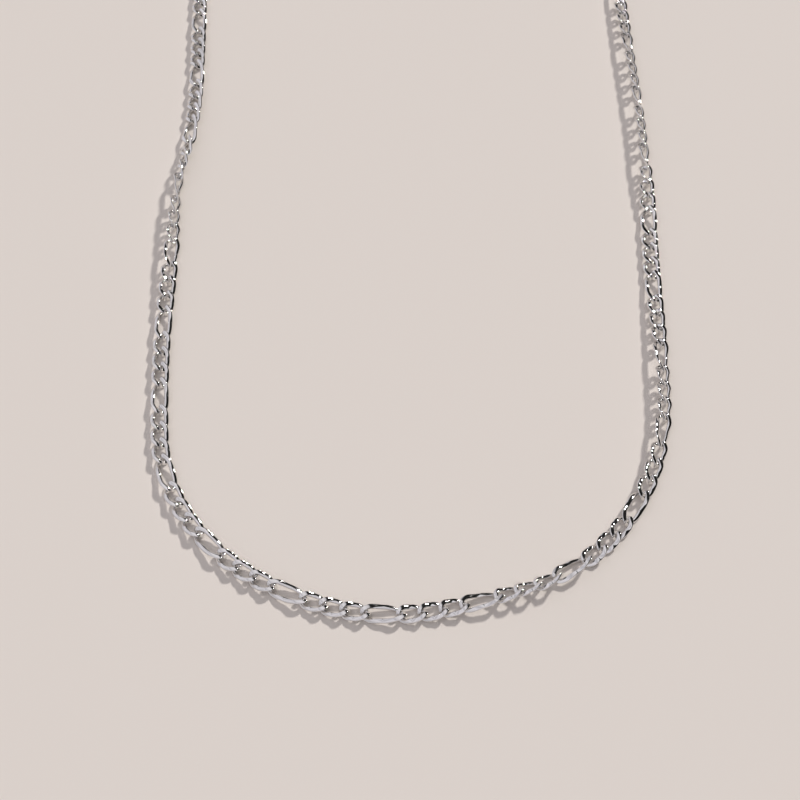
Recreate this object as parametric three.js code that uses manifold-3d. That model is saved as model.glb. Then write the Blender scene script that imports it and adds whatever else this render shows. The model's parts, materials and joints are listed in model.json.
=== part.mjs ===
// A figaro chain necklace in polished steel, lying open on a surface.
//
// The repeat is one long link and three short ones. Every link is a twisted
// oval of wire, so that the chain lies flat with its neighbours hooked through
// each other. The middle link lies at the bottom of the U, and an arm of links
// runs away from it on each side. The left arm ends in a jump ring and a
// lobster clasp, and the right arm ends in the ring that the clasp catches.
//
// Millimetres, +Z up, +Y away from the wearer's side of the U. The origin is at
// the middle of the chain's footprint, on the surface that it lies on.

import * as THREE from 'three';
import { mergeVertices } from 'three/addons/utils/BufferGeometryUtils.js';
import Module from 'manifold-3d';

const wasm = await Module();
wasm.setup();

// ---------------------------------------------------------------- dimensions

const WIRE = 0.9;                // wire of a link, measured across the link
const WIRE_FLAT = 0.8;           // the same wire through the link's thickness
const LINK_WIDTH = 3.5;          // outside width of every link
const SHORT_PITCH = 3.7;         // chain length that a short link adds
const LONG_PITCH = 6.2;          // chain length that a long link adds
const HOOK_SLACK = 0.25;         // play between two hooked wires
const TACK_WIDTH = 0.2;          // tack that joins two hooked links of one body
const TACK_LENGTH = 0.72;
const END_TWIST = 56;            // degrees that each end is twisted out of flat
const TWIST_POWER = 1.8;         // how late along a link its twist comes; 1 is even
const SHORT_SQUARENESS = 2.7;    // of a short link's oval; 2 is an ellipse
const LONG_SQUARENESS = 3.3;
const SHORTS_PER_LONG = 3;

const REPEATS_PER_ARM = 12;      // one repeat is three short links and a long one
const LOOSE_REPEATS = 4;         // repeats of each arm made as separate links
const LINKS_PER_REPEAT = SHORTS_PER_LONG + 1;
const LOOSE_LINKS = LOOSE_REPEATS * LINKS_PER_REPEAT;
const REPEAT_LENGTH = LONG_PITCH + SHORTS_PER_LONG * SHORT_PITCH;

// The chain's course, as [repeats from the middle link, degrees]. Heading is
// measured from +X, and the chain bends evenly between two stations.
const HEADINGS = [
  [-9, -87], [-7.5, -96], [-6.5, -88], [-5.5, -91], [-4.5, -87], [-3.5, -84], [-2.5, -58],
  [-1.5, -33], [-0.5, -14], [0.5, 10], [1.5, 19], [2.5, 46], [3.5, 68.4], [4.5, 86.4],
  [5.5, 90], [7, 86.5], [9.5, 92],
];

// How far the chain has rolled over about its own line. A positive roll lifts
// the side that faces into the U. The left arm rolls half a turn, to lie flat
// again on its other side.
const ROLLS = [
  [-10, -180], [-9, -165], [-8, -155], [-7, -83], [-6.4, -56], [-5.6, -22], [-5.2, -6],
  [-4.8, 0], [0.5, 0], [1.1, -20], [1.6, -42], [2.2, -8], [2.6, 10], [3.3, 18], [4, 38],
  [4.7, 43], [5, 36], [6.1, 2], [6.5, -4], [7.1, -4], [8, 56], [9.4, 56], [12, 0],
];

// The lobster clasp, along its own length from the eye to the nose.
const CLASP = {
  thickness: 2.4,
  bodyCentre: 6.6, bodyHalfLength: 4.4, bodyHalfWidth: 2.6,
  throatCentre: 7.3, throatHalfLength: 2.5, throatHalfWidth: 1.45,
  eyeCentre: 1.8, eyeOuter: 1.7, eyeHole: 1.15, eyeThickness: 0.8,
  gateStart: 5.0, gateEnd: 9.1, gateDepth: -0.95,
  slotStart: 2.9, slotEnd: 6.4, slotTop: 0.9, slotWidth: 1.5,
  reliefStart: 0, reliefPlay: 0.15, reliefHalfWidth: 1,
  pivot: [4.25, -0.85],
  pinRadius: 0.3, pinLength: 2.1, pinSeat: 0.1,
  leverBottom: -0.68, leverThickness: 0.95,
  bossRadius: 0.8, bowBelow: 0.7, bowAbove: 0.6,
  bowOuter: [6.4, -2.5], bowInner: [6.6, -1.75],
  tipPlay: 0.15, tipOuter: -1.9, tipInner: -1.15,
  nub: [5.7, -2.35, 0.5, 0.65],
  springWire: 0.26, springRadius: 0.52, springLeg: 1.6,
};
const BELOW_CLASP = -4;          // beyond the clasp's side, for its cuts
const CLEARANCE = 0.06;          // between the clasp's own pieces

const RING_PLAY = 0.4;           // play between a ring and the chain's last link
const EYE_PLAY = 0.7;            // play between the jump ring and the clasp's eye
const JUMP_RING = { radius: 1.8, wire: 0.6, roll: 50 };
const END_RING = { radius: 2.2, wire: 0.8, roll: 33 };

const STEEL = 0xd9d8d6;
const SPRING_STEEL = 0xb9b9bb;

// ------------------------------------------------------------------- helpers

const radians = THREE.MathUtils.degToRad;

function steel(color = STEEL, roughness = 0.12) {
  return new THREE.MeshStandardMaterial({ color, roughness, metalness: 1 });
}

// Reads a value between the stations of one of the course tables.
function along(stations, place) {
  const after = stations.findIndex(([at]) => at > place);
  if (after === 0) return stations[0][1];
  if (after < 0) return stations[stations.length - 1][1];
  const [fromAt, fromValue] = stations[after - 1];
  const [toAt, toValue] = stations[after];
  return THREE.MathUtils.mapLinear(place, fromAt, toAt, fromValue, toValue);
}

function solid(geometry) {
  const bare = geometry.clone();
  bare.deleteAttribute('normal');
  bare.deleteAttribute('uv');
  const welded = mergeVertices(bare, 1e-5);
  return new wasm.Manifold(new wasm.Mesh({
    numProp: 3,
    vertProperties: new Float32Array(welded.attributes.position.array),
    triVerts: new Uint32Array(welded.index.array),
  }));
}

function geometryOf(body) {
  const mesh = body.getMesh();
  const geometry = new THREE.BufferGeometry();
  geometry.setAttribute('position', new THREE.BufferAttribute(mesh.vertProperties, 3));
  geometry.setIndex(new THREE.BufferAttribute(mesh.triVerts, 1));
  geometry.computeVertexNormals();
  return geometry;
}

function part(name, geometry, material = steel()) {
  const mesh = new THREE.Mesh(geometry, material);
  mesh.name = name;
  return mesh;
}

// --------------------------------------------------------------------- links

// The centre line of a link's wire: an oval whose ends turn out of its plane.
class LinkCurve extends THREE.Curve {
  constructor(pitch) {
    super();
    this.halfLength = (pitch + HOOK_SLACK + WIRE) / 2;
    this.halfWidth = (LINK_WIDTH - WIRE) / 2;
    this.squareness = pitch > SHORT_PITCH ? LONG_SQUARENESS : SHORT_SQUARENESS;
  }

  flatPoint(t) {
    const power = 2 / this.squareness;
    const cos = Math.cos(2 * Math.PI * t);
    const sin = Math.sin(2 * Math.PI * t);
    return [
      this.halfLength * Math.sign(cos) * Math.abs(cos) ** power,
      this.halfWidth * Math.sign(sin) * Math.abs(sin) ** power,
    ];
  }

  twistAt(x) {
    const share = x / this.halfLength;
    return -radians(END_TWIST) * Math.sign(share) * Math.abs(share) ** TWIST_POWER;
  }

  getPoint(t) {
    const [x, y] = this.flatPoint(t);
    const twist = this.twistAt(x);
    return new THREE.Vector3(x, y * Math.cos(twist), y * Math.sin(twist));
  }
}

// Sweeps a six-sided wire round a link's centre line, closed on itself.
function linkGeometry(pitch, steps) {
  const sides = 6;
  const curve = new LinkCurve(pitch);
  const positions = [];
  const faces = [];
  for (let i = 0; i < steps; i += 1) {
    const centre = curve.getPointAt(i / steps);
    const tangent = curve.getTangentAt(i / steps);
    const twist = curve.twistAt(centre.x);
    const faceUp = new THREE.Vector3(0, -Math.sin(twist), Math.cos(twist));
    const outward = new THREE.Vector3().crossVectors(tangent, faceUp).normalize();
    const upward = new THREE.Vector3().crossVectors(outward, tangent);
    for (let j = 0; j < sides; j += 1) {
      const angle = 2 * Math.PI * j / sides;
      const point = centre.clone()
        .addScaledVector(outward, WIRE / 2 * Math.cos(angle))
        .addScaledVector(upward, WIRE_FLAT / 2 * Math.sin(angle));
      positions.push(point.x, point.y, point.z);
      const here = i * sides;
      const next = ((i + 1) % steps) * sides;
      const k = (j + 1) % sides;
      faces.push(here + j, next + k, here + k, here + j, next + j, next + k);
    }
  }
  const geometry = new THREE.BufferGeometry();
  geometry.setAttribute('position', new THREE.Float32BufferAttribute(positions, 3));
  geometry.setIndex(faces);
  geometry.computeVertexNormals();
  return geometry;
}

const SHORT_LINK = linkGeometry(SHORT_PITCH, 12);
const LONG_LINK = linkGeometry(LONG_PITCH, 16);
const PLAIN_SHORT_LINK = linkGeometry(SHORT_PITCH, 10);
const PLAIN_LONG_LINK = linkGeometry(LONG_PITCH, 14);

const isLong = (number) => number % LINKS_PER_REPEAT === 0;
const pitchOf = (number) => (isLong(number) ? LONG_PITCH : SHORT_PITCH);

// Links near the middle are rounder than those of the joined repeats.
function linkShape(number) {
  if (Math.abs(number) > LOOSE_LINKS) return isLong(number) ? PLAIN_LONG_LINK : PLAIN_SHORT_LINK;
  return isLong(number) ? LONG_LINK : SHORT_LINK;
}

// Height of a link's centre when its lowest point rests on the surface.
function restingHeight(geometry, roll) {
  const points = geometry.attributes.position;
  let lowest = 0;
  for (let i = 0; i < points.count; i += 1) {
    lowest = Math.min(lowest, points.getY(i) * Math.sin(roll) + points.getZ(i) * Math.cos(roll));
  }
  return -lowest;
}

// Places the links from the middle one outward along one arm. The direction is
// -1 for the left arm and 1 for the right arm.
function placeArm(direction, count) {
  const places = [{ number: 0, x: 0, y: 0, at: 0 }];
  for (let step = 0; step <= count; step += 1) {
    const link = places[step];
    link.heading = radians(along(HEADINGS, link.at / REPEAT_LENGTH));
    link.roll = radians(along(ROLLS, link.at / REPEAT_LENGTH));
    link.z = restingHeight(linkShape(link.number), link.roll);
    if (step === count) break;
    const number = link.number + direction;
    const half = pitchOf(link.number) / 2;
    const nextHalf = pitchOf(number) / 2;
    const at = link.at + direction * (half + nextHalf);
    const nextHeading = radians(along(HEADINGS, at / REPEAT_LENGTH));
    places.push({
      number,
      at,
      x: link.x + direction * (half * Math.cos(link.heading) + nextHalf * Math.cos(nextHeading)),
      y: link.y + direction * (half * Math.sin(link.heading) + nextHalf * Math.sin(nextHeading)),
    });
  }
  return places;
}

function seat(object, place) {
  object.position.set(place.x, place.y, place.z);
  object.rotation.set(place.roll, 0, place.heading, 'ZYX');
  object.updateMatrix();
  return object;
}

function looseLink(name, place) {
  return seat(part(name, linkShape(place.number)), place);
}

// A run of links joined into one body by a tack where each pair is hooked. It
// is built in the frame of its outermost link.
function joinedLinks(name, run, direction) {
  const outermost = run[run.length - 1];
  const toOutermost = seat(new THREE.Object3D(), outermost).matrix.invert();
  const tack = solid(new THREE.BoxGeometry(TACK_LENGTH, TACK_WIDTH, TACK_WIDTH));
  let body = null;
  run.forEach((place, index) => {
    const local = toOutermost.clone().multiply(seat(new THREE.Object3D(), place).matrix);
    const link = solid(linkShape(place.number)).transform(local.elements);
    body = body ? body.add(link) : link;
    if (index === run.length - 1) return;
    const toHook = new THREE.Matrix4().makeTranslation(direction * pitchOf(place.number) / 2, 0, 0);
    body = body.add(tack.transform(local.multiply(toHook).elements));
  });
  return seat(part(name, geometryOf(body)), outermost);
}

function padded(number) {
  return String(number).padStart(2, '0');
}

// One arm: loose links first, then the joined repeats, then a last short link.
function buildArm(side, direction) {
  const total = REPEATS_PER_ARM * LINKS_PER_REPEAT + 1;
  const places = placeArm(direction, total);
  const meshes = [];
  for (let i = 1; i <= LOOSE_LINKS; i += 1) {
    const kind = isLong(i) ? 'long' : 'short';
    meshes.push(looseLink(`${side}_${kind}_link_${padded(i)}`, places[i]));
  }
  for (let repeat = LOOSE_REPEATS; repeat < REPEATS_PER_ARM; repeat += 1) {
    const first = repeat * LINKS_PER_REPEAT + 1;
    const run = places.slice(first, first + LINKS_PER_REPEAT);
    meshes.push(joinedLinks(`${side}_repeat_${padded(repeat + 1)}`, run, direction));
  }
  meshes.push(looseLink(`${side}_end_link`, places[total]));
  return { meshes, last: places[total] };
}

// --------------------------------------------------------- rings and clasp

// A frame at the end of an arm: its x axis points on along the chain.
function endFrame(last, direction) {
  const frame = new THREE.Object3D();
  const reach = direction * SHORT_PITCH / 2;
  frame.position.set(
    last.x + reach * Math.cos(last.heading),
    last.y + reach * Math.sin(last.heading),
    0,
  );
  frame.rotation.z = last.heading + (direction < 0 ? Math.PI : 0);
  return frame;
}

// A ring that leans over on the surface, hooked at the frame's origin. The
// hooked wires pass through it low down, at the height given.
function ringPlace(ring, hookHeight) {
  const lean = Math.abs(radians(ring.roll));
  const centreHeight = ring.radius * Math.sin(lean) + ring.wire / 2;
  const drop = (centreHeight - hookHeight) / Math.sin(lean);
  const chord = Math.sqrt(ring.radius ** 2 - drop ** 2);
  const ahead = chord - ring.wire / 2 - RING_PLAY + HOOK_SLACK / 2;
  return {
    ahead,
    farFace: ahead + chord - ring.wire / 2,
    sideways: Math.sign(ring.roll) * drop * Math.cos(lean),
    height: centreHeight,
  };
}

function ringMesh(name, ring, hookHeight) {
  const place = ringPlace(ring, hookHeight);
  const mesh = part(name, new THREE.TorusGeometry(ring.radius, ring.wire / 2, 6, 20));
  mesh.position.set(place.ahead, place.sideways, place.height);
  mesh.rotation.x = radians(ring.roll);
  return mesh;
}

function extruded(shape, bottom, thickness) {
  const geometry = new THREE.ExtrudeGeometry(shape, {
    depth: thickness, bevelEnabled: false, curveSegments: 10,
  });
  return geometry.translate(0, 0, bottom);
}

function disc(x, y, radiusX, radiusY = radiusX) {
  return new THREE.Shape().absellipse(x, y, radiusX, radiusY, 0, 2 * Math.PI);
}

function block(fromX, toX, fromY, toY, height) {
  return new THREE.BoxGeometry(toX - fromX, toY - fromY, height)
    .translate((fromX + toX) / 2, (fromY + toY) / 2, 0);
}

// Body of the clasp: a hook with an eye, slotted for its lever.
function claspBody() {
  const c = CLASP;
  const through = c.thickness + 1;
  const plate = solid(extruded(
    disc(c.bodyCentre, 0, c.bodyHalfLength, c.bodyHalfWidth), -c.thickness / 2, c.thickness));
  const eye = solid(extruded(disc(c.eyeCentre, 0, c.eyeOuter), -c.eyeThickness / 2, c.eyeThickness));
  const throat = solid(extruded(
    disc(c.throatCentre, 0, c.throatHalfLength, c.throatHalfWidth), -through / 2, through));
  const eyeHole = solid(extruded(disc(c.eyeCentre, 0, c.eyeHole), -through / 2, through));
  const reliefEnd = c.eyeCentre + c.eyeHole + c.reliefPlay;
  const eyeRelief = solid(block(
    c.reliefStart, reliefEnd, -c.reliefHalfWidth, c.reliefHalfWidth, through));
  const gate = solid(block(c.gateStart, c.gateEnd, BELOW_CLASP, c.gateDepth, through));
  const slot = solid(block(c.slotStart, c.slotEnd, BELOW_CLASP, c.slotTop, c.slotWidth));
  const pinHole = solid(extruded(
    disc(...c.pivot, c.pinRadius + CLEARANCE), -c.thickness / 2 + c.pinSeat, through));
  return geometryOf(plate.subtract(eyeRelief).add(eye).subtract(throat).subtract(eyeHole)
    .subtract(gate).subtract(slot).subtract(pinHole));
}

// Lever of the clasp: a boss on the pin, a bowed gate and a thumb nub.
function claspLever() {
  const c = CLASP;
  const [pivotX, pivotY] = c.pivot;
  const tip = c.gateEnd - c.tipPlay;
  const bow = new THREE.Shape();
  bow.moveTo(pivotX, pivotY - c.bowBelow);
  bow.quadraticCurveTo(...c.bowOuter, tip, c.tipOuter);
  bow.lineTo(tip, c.tipInner);
  bow.quadraticCurveTo(...c.bowInner, pivotX, pivotY + c.bowAbove);
  bow.closePath();
  const hole = solid(extruded(
    disc(...c.pivot, c.pinRadius + CLEARANCE), c.leverBottom - 1, c.leverThickness + 2));
  const boss = solid(extruded(disc(...c.pivot, c.bossRadius), c.leverBottom, c.leverThickness));
  const nub = solid(extruded(disc(...c.nub), c.leverBottom, c.leverThickness));
  const arm = solid(extruded(bow, c.leverBottom, c.leverThickness));
  return geometryOf(boss.add(arm).add(nub).subtract(hole));
}

// Pin that the lever turns on, pressed into the clasp's cheeks.
function claspPin() {
  const c = CLASP;
  return new THREE.CylinderGeometry(c.pinRadius, c.pinRadius, c.pinLength, 12)
    .rotateX(Math.PI / 2)
    .translate(...c.pivot, -c.thickness / 2 + c.pinSeat + CLEARANCE + c.pinLength / 2);
}

// Torsion spring: one turn round the pin, with a leg that bears on the body.
function claspSpring() {
  const c = CLASP;
  const [pivotX, pivotY] = c.pivot;
  const height = c.leverBottom + c.leverThickness + CLEARANCE + c.springWire / 2;
  const turn = solid(new THREE.TorusGeometry(c.springRadius, c.springWire / 2, 6, 14)
    .translate(pivotX, pivotY, height));
  const leg = solid(new THREE.CylinderGeometry(c.springWire / 2, c.springWire / 2, c.springLeg, 6)
    .translate(pivotX - c.springRadius, pivotY + c.springLeg / 2, height));
  return geometryOf(turn.add(leg));
}

function claspMeshes() {
  return [
    part('clasp_body', claspBody()),
    part('clasp_lever', claspLever()),
    part('clasp_pin', claspPin()),
    part('clasp_spring', claspSpring(), steel(SPRING_STEEL, 0.3)),
  ];
}

// Jump ring and clasp, hooked to the last link of the left arm.
function claspEnd(last) {
  const c = CLASP;
  const frame = endFrame(last, -1);
  const hookHeight = (last.z + c.thickness / 2) / 2;
  const place = ringPlace(JUMP_RING, hookHeight);
  frame.add(ringMesh('clasp_jump_ring', JUMP_RING, hookHeight));
  const clasp = new THREE.Group();
  const eyeRim = c.eyeCentre - c.eyeHole;
  clasp.position.set(place.farFace - EYE_PLAY - eyeRim, 0, c.thickness / 2);
  clasp.add(...claspMeshes());
  frame.add(clasp);
  return frame;
}

// Ring that the clasp catches, hooked to the last link of the right arm.
function catchEnd(last) {
  const frame = endFrame(last, 1);
  frame.add(ringMesh('end_ring', END_RING, last.z));
  return frame;
}

// ------------------------------------------------------------------ necklace

const necklace = new THREE.Group();
const left = buildArm('left', -1);
const right = buildArm('right', 1);
const [middle] = placeArm(1, 0);
necklace.add(looseLink('middle_long_link', middle));
necklace.add(...left.meshes, ...right.meshes, claspEnd(left.last), catchEnd(right.last));

// Moves the chain so that the origin is at the middle of its footprint.
const footprint = new THREE.Box3().setFromObject(necklace, true);
necklace.position.set(
  -(footprint.min.x + footprint.max.x) / 2,
  -(footprint.min.y + footprint.max.y) / 2,
  -footprint.min.z,
);

export default necklace;
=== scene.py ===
import json
import math

import bmesh
import bpy
import numpy as np
from mathutils import Matrix, Vector

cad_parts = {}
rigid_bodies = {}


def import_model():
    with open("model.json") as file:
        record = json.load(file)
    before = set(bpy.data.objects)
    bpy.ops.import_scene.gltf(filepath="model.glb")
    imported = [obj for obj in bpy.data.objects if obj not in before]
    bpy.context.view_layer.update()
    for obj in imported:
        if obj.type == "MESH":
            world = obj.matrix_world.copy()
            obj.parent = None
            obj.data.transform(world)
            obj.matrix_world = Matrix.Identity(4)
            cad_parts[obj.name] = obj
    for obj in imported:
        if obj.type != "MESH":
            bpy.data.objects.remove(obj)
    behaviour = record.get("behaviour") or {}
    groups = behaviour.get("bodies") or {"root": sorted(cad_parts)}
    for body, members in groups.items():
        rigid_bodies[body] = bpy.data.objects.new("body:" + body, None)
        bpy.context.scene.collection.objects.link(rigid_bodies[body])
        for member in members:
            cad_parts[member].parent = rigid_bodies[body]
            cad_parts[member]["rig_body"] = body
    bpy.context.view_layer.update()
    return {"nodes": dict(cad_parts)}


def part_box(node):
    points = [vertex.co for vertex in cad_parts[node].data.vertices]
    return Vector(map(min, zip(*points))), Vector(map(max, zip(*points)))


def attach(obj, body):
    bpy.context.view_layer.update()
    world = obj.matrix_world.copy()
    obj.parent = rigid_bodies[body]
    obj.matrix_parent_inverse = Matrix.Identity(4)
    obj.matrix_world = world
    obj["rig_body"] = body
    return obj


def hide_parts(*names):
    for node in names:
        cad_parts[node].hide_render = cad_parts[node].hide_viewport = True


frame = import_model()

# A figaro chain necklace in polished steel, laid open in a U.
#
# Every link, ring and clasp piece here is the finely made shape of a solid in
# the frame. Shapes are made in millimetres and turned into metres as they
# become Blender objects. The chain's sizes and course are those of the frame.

MM = 0.001

# ---------------------------------------------------------------- dimensions

WIRE = 0.9                 # wire of a link, measured across the link
WIRE_FLAT = 0.8            # the same wire through the link's thickness
LINK_WIDTH = 3.5           # outside width of every link
SHORT_PITCH = 3.7          # chain length that a short link adds
LONG_PITCH = 6.2           # chain length that a long link adds
HOOK_SLACK = 0.25          # play between two hooked wires
END_TWIST = 56             # degrees that each end is twisted out of flat
TWIST_POWER = 1.8          # how late along a link its twist comes; 1 is even
SHORT_SQUARENESS = 2.7     # of a short link's oval; 2 is an ellipse
LONG_SQUARENESS = 3.3
ROUND_UNTIL = 0.62         # height from a link's middle where its flattening starts
FLATTENED_TO = 0.82        # half of the thickness that the flattening leaves
SHORTS_PER_LONG = 3
REPEATS_PER_ARM = 12
LOOSE_REPEATS = 4          # repeats of each arm whose links have CAD nodes of their own
LINKS_PER_REPEAT = SHORTS_PER_LONG + 1
LOOSE_LINKS = LOOSE_REPEATS * LINKS_PER_REPEAT
LINKS_PER_ARM = REPEATS_PER_ARM * LINKS_PER_REPEAT + 1
REPEAT_LENGTH = LONG_PITCH + SHORTS_PER_LONG * SHORT_PITCH

# The chain's course, as (repeats from the middle link, degrees from +X).
HEADINGS = [
    (-9, -87), (-7.5, -96), (-6.5, -88), (-5.5, -91), (-4.5, -87), (-3.5, -84), (-2.5, -58),
    (-1.5, -33), (-0.5, -14), (0.5, 10), (1.5, 19), (2.5, 46), (3.5, 68.4), (4.5, 86.4),
    (5.5, 90), (7, 86.5), (9.5, 92),
]
# How far it has rolled over; positive lifts the side that faces into the U.
ROLLS = [
    (-10, -180), (-9, -165), (-8, -155), (-7, -83), (-6.4, -56), (-5.6, -22), (-5.2, -6),
    (-4.8, 0), (0.5, 0), (1.1, -20), (1.6, -42), (2.2, -8), (2.6, 10), (3.3, 18), (4, 38),
    (4.7, 43), (5, 36), (6.1, 2), (6.5, -4), (7.1, -4), (8, 56), (9.4, 56), (12, 0),
]

WIRE_SIDES = 32            # points round a wire's section
OUTER_SQUARENESS = 3.0     # of the wire's side away from the hole; 2 is an ellipse
INNER_SQUARENESS = 1.7     # of its side towards the hole, which bears on the next link
WIRE_TAPER = 0.5           # how much thinner the wire is on its side away from the hole
WIRE_STEP = 0.11           # spacing of the sections along a wire
LINE_POINTS = 4001         # on the line that the sections are spaced along
SEAM_TURN = 0.75           # how far round a link its soldered seam is
SEAM_WIDTH = 0.07
SEAM_DEPTH = 0.012
SEAM_SECTIONS = 9          # of the wire, spaced more finely over the seam
SEAM_REACH = 2             # widths to each side that those sections cover
SEAM_ROOM = 2.5            # widths to each side that are clear of other sections

JUMP_RING = {"radius": 1.8, "wire": 0.6, "roll": 50}
END_RING = {"radius": 2.2, "wire": 0.8, "roll": 33}
BUTT_GAP = 0.06            # between the cut ends of the jump ring
RING_STEPS = 160

# The lobster clasp, along its own length from the eye to the nose.
THICKNESS = 2.4            # of the body at its heel
NOSE_THINNING = 0.2        # share of it lost by the nose
BODY = {"centre": 6.6, "half_length": 4.4, "half_width": 2.6}
THROAT = {"centre": 7.3, "half_length": 2.5, "half_width": 1.45}
EYE = {"centre": 1.8, "outer": 1.7, "hole": 1.15, "thickness": 0.8}
RELIEF = (0, 3.1, -1, 1)   # x from, x to, y from, y to
GATE = (5.0, 9.1, -4, -0.95)
SLOT = (2.9, 6.4, -4, 0.9)
SLOT_WIDTH = 1.5
PIVOT = (4.25, -0.85)
PIN_RADIUS = 0.3
PIN_LENGTH = 2.1
PIN_HEIGHT = 0.01          # of the pin's middle above the clasp's
PIN_DOME = 0.12            # height of its domed ends
PIN_TIP_ANGLE = 0.05       # radians round a dome where its first ring is
PIN_SEAT = 0.1             # metal left under its hole
CLEARANCE = 0.06           # between the clasp's own pieces
CUT_MARGIN = 1             # that a cutting solid reaches past what it cuts
LEVER_BOTTOM = -0.68
LEVER_THICKNESS = 0.95
LEVER_BOSS = 0.8
BOW_OUTER = [(4.25, -1.55), (6.4, -2.5), (8.95, -1.9)]
BOW_INNER = [(8.95, -1.15), (6.6, -1.75), (4.25, -0.25)]
NUB = (5.7, -2.35, 0.5, 0.65)
SPRING_WIRE = 0.16
SPRING_RADIUS = 0.52
SPRING_TURNS = 1.25
COIL_GAP = 0.005           # between the turns
SPRING_LEGS = (1.5, 1.3)   # the one that bears on the body, and the lever's
LEG_START = 0.1            # share of a leg that its point nearest to the coil is along it
COIL_STEPS = 90
LEG_STEPS = 10
ELLIPSE = 2                # squareness of an ellipse
CAST_SQUARENESS = 2.6      # of the sections of the clasp's body and eye
CLAW_STEPS = 144
EYE_STEPS = 96
OVAL_STEPS = 96
BEND_STEPS = 24
DOME_STEPS = 10
CAST_DETAIL = 0.055        # size of the grid that a casting is remade on
CAST_SMOOTHING = 10        # rounds of smoothing that soften its edges

# --------------------------------------------------------------- mesh making


def along(stations, place):
    return float(np.interp(place, *zip(*stations)))


def to_object(name, points, faces, material, place=Matrix.Identity(4), smooth=True):
    """Makes an object of points in millimetres, set where the place matrix says."""
    world = Matrix.Scale(MM, 4) @ place
    mesh = bpy.data.meshes.new(name)
    mesh.from_pydata([world @ Vector(p) for p in points], [], faces)
    mesh.materials.append(material)
    mesh.polygons.foreach_set("use_smooth", [smooth] * len(mesh.polygons))
    mesh.update()
    obj = bpy.data.objects.new(name, mesh)
    bpy.context.scene.collection.objects.link(obj)
    return obj


def hold(piece, node):
    """The piece moves with the node's body and stands for the node."""
    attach(piece, frame["nodes"][node]["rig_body"])
    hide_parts(node)


def superellipse(squareness, sides):
    """Points round a superellipse of half-width and half-height 1."""
    outline = []
    for step in range(sides):
        cos, sin = math.cos(2 * math.pi * step / sides), math.sin(2 * math.pi * step / sides)
        outline.append((
            math.copysign(abs(cos) ** (2 / squareness), cos),
            math.copysign(abs(sin) ** (2 / squareness), sin),
        ))
    return outline


def wire_section():
    """Outline of a link's wire, as pairs (outward, upward): a wedge, rounder towards the hole."""
    outer = superellipse(OUTER_SQUARENESS, WIRE_SIDES)
    inner = superellipse(INNER_SQUARENESS, WIRE_SIDES)
    outline = []
    for on_outer, on_inner in zip(outer, inner):
        outward, upward = on_outer if on_outer[0] > 0 else on_inner
        thinner = 1 - WIRE_TAPER * (1 + outward) / 2
        outline.append((WIRE / 2 * outward, WIRE_FLAT / 2 * upward * thinner))
    return outline


def swept(rings, closed):
    """Points and faces of a tube through rings of points, all of one length."""
    sides = len(rings[0])
    points = [p for ring in rings for p in ring]
    faces = []
    last = len(rings) if closed else len(rings) - 1
    for i in range(last):
        here, there = i * sides, (i + 1) % len(rings) * sides
        for j in range(sides):
            k = (j + 1) % sides
            faces.append((here + j, there + j, there + k, here + k))
    if not closed:
        faces.append(tuple(range(sides)))
        faces.append(tuple(reversed(range((len(rings) - 1) * sides, len(rings) * sides))))
    return points, faces


# --------------------------------------------------------------------- links


def flattened(point):
    """Presses the highest and lowest parts of a link flat, as rolling a chain does."""
    room = FLATTENED_TO - ROUND_UNTIL
    excess = abs(point[2]) - ROUND_UNTIL
    if excess > 0:
        point[2] = math.copysign(ROUND_UNTIL + room * (1 - math.exp(-excess / room)), point[2])
    return point


class LinkShape:
    """A twisted oval of wire with a soldered seam, centred on its own origin."""

    def __init__(self, pitch):
        self.half_length = (pitch + HOOK_SLACK + WIRE) / 2
        self.half_width = (LINK_WIDTH - WIRE) / 2
        self.squareness = LONG_SQUARENESS if pitch > SHORT_PITCH else SHORT_SQUARENESS
        self.points, self.faces = swept(self.rings(), closed=True)

    def twist_at(self, x):
        share = x / self.half_length
        return -math.radians(END_TWIST) * np.sign(share) * np.abs(share) ** TWIST_POWER

    def centre_line(self, turns):
        power = 2 / self.squareness
        cos, sin = np.cos(2 * np.pi * turns), np.sin(2 * np.pi * turns)
        x = self.half_length * np.sign(cos) * np.abs(cos) ** power
        y = self.half_width * np.sign(sin) * np.abs(sin) ** power
        twist = self.twist_at(x)
        return np.stack([x, y * np.cos(twist), y * np.sin(twist)], axis=1)

    def rings(self):
        fine = self.centre_line(np.linspace(0, 1, LINE_POINTS))
        run = np.concatenate([[0], np.cumsum(np.linalg.norm(np.diff(fine, axis=0), axis=1))])
        count = int(run[-1] / WIRE_STEP)
        seam = SEAM_TURN * run[-1]
        near_seam = seam + np.linspace(-SEAM_REACH, SEAM_REACH, SEAM_SECTIONS) * SEAM_WIDTH
        places = np.arange(count) * run[-1] / count
        places = places[np.abs(places - seam) > SEAM_ROOM * SEAM_WIDTH]
        places = np.sort(np.concatenate([places, near_seam]))
        centres = np.stack([np.interp(places, run, fine[:, k]) for k in range(3)], axis=1)
        outline = wire_section()
        rings = []
        for i, centre in enumerate(centres):
            tangent = centres[(i + 1) % len(centres)] - centres[i - 1]
            tangent /= np.linalg.norm(tangent)
            twist = self.twist_at(centre[0])
            face_up = np.array([0, -math.sin(twist), math.cos(twist)])
            outward = np.cross(tangent, face_up)
            outward /= np.linalg.norm(outward)
            upward = np.cross(outward, tangent)
            from_seam = (places[i] - seam) / SEAM_WIDTH
            waist = 1 - 2 * SEAM_DEPTH / WIRE * math.exp(-from_seam ** 2)
            rings.append([
                flattened(centre + waist * (a * outward + b * upward)) for a, b in outline
            ])
        return rings

    def resting_height(self, roll):
        points = np.array(self.points)
        return -float((points[:, 1] * math.sin(roll) + points[:, 2] * math.cos(roll)).min())


SHORT_LINK = LinkShape(SHORT_PITCH)
LONG_LINK = LinkShape(LONG_PITCH)


def is_long(number):
    return number % LINKS_PER_REPEAT == 0


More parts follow.
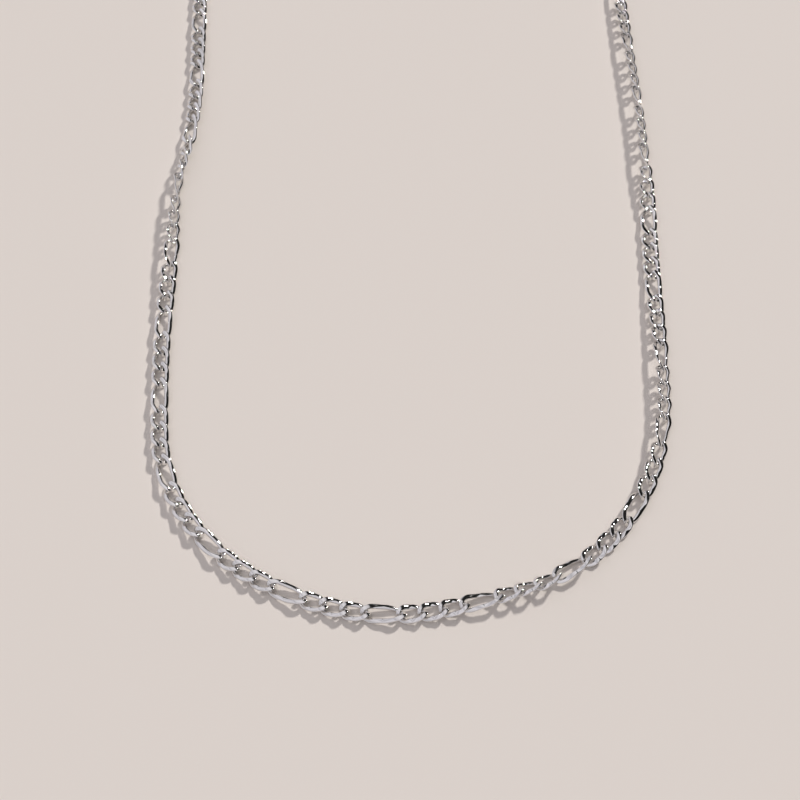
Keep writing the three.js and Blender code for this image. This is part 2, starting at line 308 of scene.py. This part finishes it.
def pitch_of(number):
    return LONG_PITCH if is_long(number) else SHORT_PITCH


def shape_of(number):
    return LONG_LINK if is_long(number) else SHORT_LINK


class Place:
    """Where one link lies: its centre, heading and roll."""

    def __init__(self, number, x, y, distance):
        self.number, self.x, self.y = number, x, y
        self.distance = distance
        self.heading = math.radians(along(HEADINGS, distance / REPEAT_LENGTH))
        self.roll = math.radians(along(ROLLS, distance / REPEAT_LENGTH))
        self.z = shape_of(number).resting_height(self.roll)

    def next(self, direction):
        number = self.number + direction
        half, next_half = pitch_of(self.number) / 2, pitch_of(number) / 2
        distance = self.distance + direction * (half + next_half)
        heading = math.radians(along(HEADINGS, distance / REPEAT_LENGTH))
        return Place(
            number,
            self.x + direction * (half * math.cos(self.heading) + next_half * math.cos(heading)),
            self.y + direction * (half * math.sin(self.heading) + next_half * math.sin(heading)),
            distance,
        )

    def matrix(self):
        turn = Matrix.Rotation(self.heading, 4, "Z") @ Matrix.Rotation(self.roll, 4, "X")
        return Matrix.Translation((self.x, self.y, self.z)) @ turn


def arm_places(middle, direction):
    places = [middle]
    for _ in range(LINKS_PER_ARM):
        places.append(places[-1].next(direction))
    return places


def node_of(side, count):
    """The CAD node that holds the link that is this many links along its arm."""
    if count <= LOOSE_LINKS:
        return f"{side}_{'long' if is_long(count) else 'short'}_link_{count:02d}"
    if count == LINKS_PER_ARM:
        return f"{side}_end_link"
    return f"{side}_repeat_{(count - 1) // LINKS_PER_REPEAT + 1:02d}"


def make_link(name, node, place, material):
    shape = shape_of(place.number)
    piece = to_object(name, shape.points, shape.faces, material, place.matrix())
    hold(piece, node)


def make_chain(middle, arms, material):
    make_link("link_middle_long", "middle_long_link", middle, material)
    for side, places in arms.items():
        for count, place in enumerate(places[1:], start=1):
            kind = "long" if is_long(count) else "short"
            make_link(f"link_{side}_{count:02d}_{kind}", node_of(side, count), place, material)


# ----------------------------------------------------------- rings and clasp


def centre_of(node):
    low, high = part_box(node)
    return (low + high) / 2 / MM


def round_wire(path, radius, closed=False):
    """A round wire along a path that starts out level."""
    path = np.array(path)
    if closed:
        tangents = np.roll(path, -1, axis=0) - np.roll(path, 1, axis=0)
    else:
        tangents = np.gradient(path, axis=0)
    side = np.array([0.0, 0.0, 1.0])
    rings = []
    for centre, tangent in zip(path, tangents):
        tangent = tangent / np.linalg.norm(tangent)
        side = side - tangent * side.dot(tangent)
        side /= np.linalg.norm(side)
        up = np.cross(side, tangent)
        rings.append([
            centre + radius * (a * side + b * up) for a, b in superellipse(ELLIPSE, WIRE_SIDES)
        ])
    return swept(rings, closed)


def arc(radius, from_angle, to_angle, steps, rise=0):
    """Points of an arc or a helix about the Z axis."""
    angles = np.linspace(from_angle, to_angle, steps)
    heights = np.linspace(0, rise, steps)
    return [(radius * math.cos(a), radius * math.sin(a), z) for a, z in zip(angles, heights)]


def make_ring(name, node, ring, heading, material, gap=0):
    half_gap = gap / ring["radius"] / 2
    path = arc(ring["radius"], half_gap, 2 * math.pi - half_gap, RING_STEPS)
    if not gap:
        path.pop()
    points, faces = round_wire(path, ring["wire"] / 2, closed=not gap)
    roll = Matrix.Rotation(math.radians(ring["roll"]), 4, "X")
    place = Matrix.Translation(centre_of(node)) @ Matrix.Rotation(heading, 4, "Z") @ roll
    hold(to_object(name, points, faces, material, place), node)


def prism(outline, low, high):
    """Points and faces of a straight-sided solid on an outline of (x, y)."""
    top, bottom = ([(x, y, height) for x, y in outline] for height in (high, low))
    return swept([top, bottom], closed=False)


def oval(x, y, half_length, half_width):
    return [(x + half_length * a, y + half_width * b) for a, b in superellipse(ELLIPSE, OVAL_STEPS)]


def block(from_x, to_x, from_y, to_y, height):
    corners = [(from_x, from_y), (to_x, from_y), (to_x, to_y), (from_x, to_y)]
    return prism(corners, -height / 2, height / 2)


class Casting:
    """A casting shaped from simple solids, in millimetres, then softened."""

    def __init__(self, name, solid):
        self.name = name
        self.obj = self.blank(*solid)

    def blank(self, points, faces):
        mesh = bpy.data.meshes.new(self.name)
        mesh.from_pydata([tuple(p) for p in points], [], faces)
        shape = bmesh.new()
        shape.from_mesh(mesh)
        bmesh.ops.recalc_face_normals(shape, faces=shape.faces)
        shape.to_mesh(mesh)
        shape.free()
        obj = bpy.data.objects.new(self.name, mesh)
        bpy.context.scene.collection.objects.link(obj)
        return obj

    def settle(self):
        """Makes the object's modifiers part of its mesh."""
        depsgraph = bpy.context.evaluated_depsgraph_get()
        mesh = bpy.data.meshes.new_from_object(self.obj.evaluated_get(depsgraph))
        self.obj.modifiers.clear()
        self.obj.data = mesh

    def combine(self, solid, operation):
        other = self.blank(*solid)
        change = self.obj.modifiers.new("shape", "BOOLEAN")
        change.operation = operation
        change.solver = "EXACT"
        change.object = other
        self.settle()
        bpy.data.objects.remove(other)

    def add(self, solid):
        self.combine(solid, "UNION")

    def cut(self, solid):
        self.combine(solid, "DIFFERENCE")

    def finish(self, place, material):
        grid = self.obj.modifiers.new("grid", "REMESH")
        grid.mode = "VOXEL"
        grid.voxel_size = CAST_DETAIL
        soften = self.obj.modifiers.new("soften", "SMOOTH")
        soften.iterations = CAST_SMOOTHING
        self.settle()
        mesh = self.obj.data
        mesh.transform(Matrix.Scale(MM, 4) @ place)
        mesh.polygons.foreach_set("use_smooth", [True] * len(mesh.polygons))
        mesh.materials.clear()
        mesh.materials.append(material)
        return self.obj


def claw():
    """The clasp's hooked body as a closed ring that thins towards its nose."""
    outline = superellipse(CAST_SQUARENESS, WIRE_SIDES)
    rings = []
    for cos, sin in reversed(superellipse(ELLIPSE, CLAW_STEPS)):
        inner, outer = (
            np.array([side["centre"] + side["half_length"] * cos, side["half_width"] * sin, 0])
            for side in (THROAT, BODY)
        )
        middle, reach = (inner + outer) / 2, (outer - inner) / 2
        height = np.array([0, 0, THICKNESS / 2 * (1 - NOSE_THINNING * (1 + cos) / 2)])
        rings.append([middle + a * reach + b * height for a, b in outline])
    return swept(rings, closed=True)


def eye_ring():
    half_width, half_height = (EYE["outer"] - EYE["hole"]) / 2, EYE["thickness"] / 2
    rings = []
    for cos, sin in reversed(superellipse(ELLIPSE, EYE_STEPS)):
        outward = np.array([cos, sin, 0])
        centre = np.array([EYE["centre"], 0, 0]) + (EYE["hole"] + half_width) * outward
        rings.append([
            centre + a * half_width * outward + np.array([0, 0, b * half_height])
            for a, b in superellipse(CAST_SQUARENESS, WIRE_SIDES)
        ])
    return swept(rings, closed=True)


def clasp_body():
    through = THICKNESS + CUT_MARGIN
    body = Casting("lobster_body", claw())
    body.cut(block(*RELIEF, through))
    body.add(eye_ring())
    body.cut(prism(oval(EYE["centre"], 0, EYE["hole"], EYE["hole"]), -through / 2, through / 2))
    body.cut(block(*GATE, through))
    body.cut(block(*SLOT, SLOT_WIDTH))
    hole = PIN_RADIUS + CLEARANCE
    body.cut(prism(oval(*PIVOT, hole, hole), -THICKNESS / 2 + PIN_SEAT, through))
    return body


def bent(start, control, end):
    """Points along a curve from start to end, drawn towards the control point."""
    start, control, end = np.array(start), np.array(control), np.array(end)
    return [
        tuple((1 - t) ** 2 * start + 2 * t * (1 - t) * control + t * t * end)
        for t in np.linspace(0, 1, BEND_STEPS)
    ]


def clasp_lever():
    low, high = LEVER_BOTTOM, LEVER_BOTTOM + LEVER_THICKNESS
    lever = Casting("lobster_lever", prism(bent(*BOW_OUTER) + bent(*BOW_INNER), low, high))
    lever.add(prism(oval(*PIVOT, LEVER_BOSS, LEVER_BOSS), low, high))
    lever.add(prism(oval(*NUB), low, high))
    hole = PIN_RADIUS + CLEARANCE
    lever.cut(prism(oval(*PIVOT, hole, hole), low - CUT_MARGIN, high + CUT_MARGIN))
    return lever


def pin_solid():
    """A pin with domed ends."""
    profile = [
        (PIN_RADIUS * math.sin(a), PIN_LENGTH / 2 - PIN_DOME * (1 - math.cos(a)))
        for a in np.linspace(PIN_TIP_ANGLE, math.pi / 2, DOME_STEPS)
    ]
    profile += [(radius, -height) for radius, height in reversed(profile)]
    rings = []
    for radius, height in profile:
        rings.append([
            (PIVOT[0] + radius * a, PIVOT[1] + radius * b, PIN_HEIGHT + height)
            for a, b in superellipse(ELLIPSE, WIRE_SIDES)
        ])
    return swept(rings, closed=False)


def spring_solid():
    """A torsion spring round the pin: one leg bears on the body and one on the lever."""
    low = LEVER_BOTTOM + LEVER_THICKNESS + CLEARANCE + SPRING_WIRE / 2
    rise = SPRING_TURNS * (SPRING_WIRE + COIL_GAP)
    body_leg, lever_leg = SPRING_LEGS
    first = -math.pi / 2
    coil = arc(SPRING_RADIUS, first, first - 2 * math.pi * SPRING_TURNS, COIL_STEPS, rise)
    start = [(lever_leg * t, -SPRING_RADIUS, 0) for t in np.linspace(1, LEG_START, LEG_STEPS)]
    path = [(PIVOT[0] + x, PIVOT[1] + y, low + z) for x, y, z in start + coil]
    end_x, end_y, end_z = path[-1]
    path += [(end_x, end_y + body_leg * t, end_z) for t in np.linspace(LEG_START, 1, LEG_STEPS)]
    return round_wire(path, SPRING_WIRE / 2)


def make_clasp(heading, cast, wire):
    turn = Matrix.Rotation(heading, 4, "Z")
    pin_middle = Vector((*PIVOT, PIN_HEIGHT))
    place = Matrix.Translation(centre_of("clasp_pin")) @ turn @ Matrix.Translation(-pin_middle)
    hold(clasp_body().finish(place, cast), "clasp_body")
    hold(clasp_lever().finish(place, cast), "clasp_lever")
    hold(to_object("lobster_pin", *pin_solid(), cast, place), "clasp_pin")
    hold(to_object("lobster_spring", *spring_solid(), wire, place), "clasp_spring")


# ----------------------------------------------------------------- materials

NOISE_SPAN = (0.3, 0.7)    # the noise values that count as its lowest and highest
TARNISH_TONE = 0.93        # of tarnished steel, as a share of clean steel's
TARNISH = {"per_mm": 0.6, "detail": 3}
SMUDGES = {"per_mm": 0.9, "detail": 5}
WAVES = {"per_mm": 1.1, "detail": 2}
WAVE_BUMP = {"strength": 0.08, "height": 0.02}
SCRATCHES = {"per_mm": 14, "detail": 6}
SCRATCH_BUMP = {"strength": 0.3, "height": 0.001}
# Tone, and the smoothest and roughest polish.
CHAIN_STEEL = ((0.80, 0.79, 0.785), (0.05, 0.11))
RING_STEEL = ((0.79, 0.78, 0.775), (0.06, 0.13))
CLASP_STEEL = ((0.78, 0.77, 0.765), (0.08, 0.17))
SPRING_STEEL = ((0.60, 0.60, 0.61), (0.22, 0.34))
FLOOR_TONE = (0.768, 0.718, 0.667)
FLOOR_ROUGHNESS = 0.9
FLOOR_SPECULAR = 0.15


def node_material(name):
    material = bpy.data.materials.new(name)
    material.use_nodes = True
    tree = material.node_tree
    return material, tree.nodes, tree.links, tree.nodes["Principled BSDF"]


def noise(nodes, links, where, per_mm, detail):
    texture = nodes.new("ShaderNodeTexNoise")
    texture.inputs["Scale"].default_value = per_mm / MM
    texture.inputs["Detail"].default_value = detail
    links.new(where, texture.inputs["Vector"])
    return texture.outputs["Fac"]


def spread(nodes, links, value, low, high):
    """Maps a noise value to a range from low to high."""
    remap = nodes.new("ShaderNodeMapRange")
    remap.inputs["From Min"].default_value = NOISE_SPAN[0]
    remap.inputs["From Max"].default_value = NOISE_SPAN[1]
    remap.inputs["To Min"].default_value = low
    remap.inputs["To Max"].default_value = high
    links.new(value, remap.inputs["Value"])
    return remap.outputs["Result"]


def bump(nodes, links, value, strength, height):
    relief = nodes.new("ShaderNodeBump")
    relief.inputs["Strength"].default_value = strength
    relief.inputs["Distance"].default_value = height * MM
    links.new(value, relief.inputs["Height"])
    return relief


def polished_steel(name, tone, roughness):
    """Polished steel: faint tarnish, fine scratches and a slightly wavy surface."""
    material, nodes, links, shader = node_material(name)
    where = nodes.new("ShaderNodeTexCoord").outputs["Object"]
    shader.inputs["Metallic"].default_value = 1.0

    tint = nodes.new("ShaderNodeMix")
    tint.data_type = "RGBA"
    tint.inputs["A"].default_value = (*[TARNISH_TONE * c for c in tone], 1)
    tint.inputs["B"].default_value = (*tone, 1)
    tarnish = noise(nodes, links, where, **TARNISH)
    links.new(spread(nodes, links, tarnish, 0, 1), tint.inputs["Factor"])
    links.new(tint.outputs["Result"], shader.inputs["Base Color"])

    smudges = noise(nodes, links, where, **SMUDGES)
    links.new(spread(nodes, links, smudges, *roughness), shader.inputs["Roughness"])

    waves = bump(nodes, links, noise(nodes, links, where, **WAVES), **WAVE_BUMP)
    scratches = bump(nodes, links, noise(nodes, links, where, **SCRATCHES), **SCRATCH_BUMP)
    links.new(waves.outputs["Normal"], scratches.inputs["Normal"])
    links.new(scratches.outputs["Normal"], shader.inputs["Normal"])
    return material


def floor_material():
    material, _, _, shader = node_material("pale_floor")
    shader.inputs["Base Color"].default_value = (*FLOOR_TONE, 1)
    shader.inputs["Roughness"].default_value = FLOOR_ROUGHNESS
    shader.inputs["Specular IOR Level"].default_value = FLOOR_SPECULAR
    return material


# --------------------------------------------------------------------- studio

CAMERA_PITCH = 56.3        # degrees below the horizon
CAMERA_HEIGHT = 224.4      # millimetres
CAMERA_BACK = 104.9        # from the middle link, towards -Y
CAMERA_ASIDE = 2.85
CAMERA_LENS = 63.9
CAMERA_SENSOR = 36
CAMERA_CLIP = (0.01, 50)   # metres
FLOOR_SIZE = 6000
DARK_SIDE = (0.906, 0.423)  # towards the dark part of the room
# Tones of the room, from the horizon on its dark side (0) over the top (0.5)
# to the horizon behind (1).
ROOM_TONES = [
    (0.0, (0.015, 0.014, 0.014)),
    (0.388, (0.02, 0.02, 0.02)),
    (0.41, (0.70, 0.68, 0.70)),
    (0.45, (1.0, 0.97, 1.0)),
    (0.56, (0.60, 0.58, 0.62)),
    (0.64, (0.92, 0.89, 0.94)),
    (0.80, (0.72, 0.69, 0.72)),
    (0.92, (0.22, 0.20, 0.20)),
    (1.0, (0.12, 0.11, 0.11)),
]
LEFT_WALL = (0.62, 0.60, 0.63)
LEFT_WALL_EDGES = (-0.02, -0.12)  # a direction's X where the wall begins and where it is full
ROOM_LIGHT = 0.9
SUN_LIGHT = 2.6
SUN_SIZE = 5               # degrees across
SUN_COLOUR = (1.0, 0.965, 0.93)
SUN_RAYS = (-1.6, -2.0, -1.6)


def make_camera(middle):
    data = bpy.data.cameras.new("camera")
    data.lens = CAMERA_LENS
    data.sensor_width = CAMERA_SENSOR
    data.clip_start, data.clip_end = CAMERA_CLIP
    camera = bpy.data.objects.new("camera", data)
    place = Vector((middle.x + CAMERA_ASIDE, middle.y - CAMERA_BACK, CAMERA_HEIGHT))
    camera.location = place * MM
    camera.rotation_euler = (math.radians(90 - CAMERA_PITCH), 0, 0)
    bpy.context.scene.collection.objects.link(camera)
    bpy.context.scene.camera = camera


def make_floor():
    half = FLOOR_SIZE / 2
    corners = [(-half, -half, 0), (half, -half, 0), (half, half, 0), (-half, half, 0)]
    floor = to_object("floor", corners, [(0, 1, 2, 3)], floor_material(), smooth=False)


def make_key_light():
    data = bpy.data.lights.new("key", "SUN")
    data.energy = SUN_LIGHT
    data.angle = math.radians(SUN_SIZE)
    data.color = SUN_COLOUR
    key = bpy.data.objects.new("key", data)
    key.rotation_euler = Vector(SUN_RAYS).to_track_quat("-Z", "Y").to_euler()
    bpy.context.scene.collection.objects.link(key)


def make_sky():
    """Soft room light: bright overhead, dark low down on one side, with a pale left wall."""
    world = bpy.data.worlds.new("room")
    bpy.context.scene.world = world
    world.use_nodes = True
    nodes, links = world.node_tree.nodes, world.node_tree.links
    back = nodes["Background"]
    where = nodes.new("ShaderNodeTexCoord").outputs["Generated"]
    split = nodes.new("ShaderNodeSeparateXYZ")
    links.new(where, split.inputs["Vector"])
    beyond = nodes.new("ShaderNodeVectorMath")
    beyond.operation = "DOT_PRODUCT"
    beyond.inputs[1].default_value = (*DARK_SIDE, 0)
    links.new(where, beyond.inputs[0])
    far_height = nodes.new("ShaderNodeMath")
    far_height.operation = "ARCTAN2"
    links.new(split.outputs["Z"], far_height.inputs[0])
    links.new(beyond.outputs["Value"], far_height.inputs[1])
    turn = nodes.new("ShaderNodeMath")
    turn.operation = "DIVIDE"
    turn.inputs[1].default_value = math.pi
    links.new(far_height.outputs["Value"], turn.inputs[0])
    ramp = nodes.new("ShaderNodeValToRGB")
    links.new(turn.outputs["Value"], ramp.inputs["Fac"])
    elements = ramp.color_ramp.elements
    elements[0].position, elements[1].position = ROOM_TONES[0][0], ROOM_TONES[-1][0]
    for position, _ in ROOM_TONES[1:-1]:
        elements.new(position)
    for element, (_, tone) in zip(elements, ROOM_TONES):
        element.color = (*tone, 1)
    leftward = nodes.new("ShaderNodeMapRange")
    leftward.inputs["From Min"].default_value = LEFT_WALL_EDGES[0]
    leftward.inputs["From Max"].default_value = LEFT_WALL_EDGES[1]
    links.new(split.outputs["X"], leftward.inputs["Value"])
    wall = nodes.new("ShaderNodeMix")
    wall.data_type = "RGBA"
    wall.blend_type = "LIGHTEN"
    wall.inputs["B"].default_value = (*LEFT_WALL, 1)
    links.new(leftward.outputs["Result"], wall.inputs["Factor"])
    links.new(ramp.outputs["Color"], wall.inputs["A"])
    links.new(wall.outputs["Result"], back.inputs["Color"])
    back.inputs["Strength"].default_value = ROOM_LIGHT


# ----------------------------------------------------------------------- make

bpy.context.scene.view_settings.view_transform = "Standard"

middle_low, middle_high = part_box("middle_long_link")
middle_centre = (middle_low + middle_high) / 2 / MM
middle = Place(0, middle_centre.x, middle_centre.y, 0)
arms = {"left": arm_places(middle, -1), "right": arm_places(middle, 1)}

make_camera(middle)
make_floor()
make_key_light()
make_sky()
chain_steel = polished_steel("chain_steel", *CHAIN_STEEL)
make_chain(middle, arms, chain_steel)
ring_steel = polished_steel("ring_steel", *RING_STEEL)
clasp_steel = polished_steel("clasp_steel", *CLASP_STEEL)
spring_steel = polished_steel("spring_steel", *SPRING_STEEL)
left_heading = arms["left"][-1].heading + math.pi
right_heading = arms["right"][-1].heading
make_ring("jump_ring", "clasp_jump_ring", JUMP_RING, left_heading, ring_steel, gap=BUTT_GAP)
make_ring("catch_ring", "end_ring", END_RING, right_heading, ring_steel)
make_clasp(left_heading, clasp_steel, spring_steel)
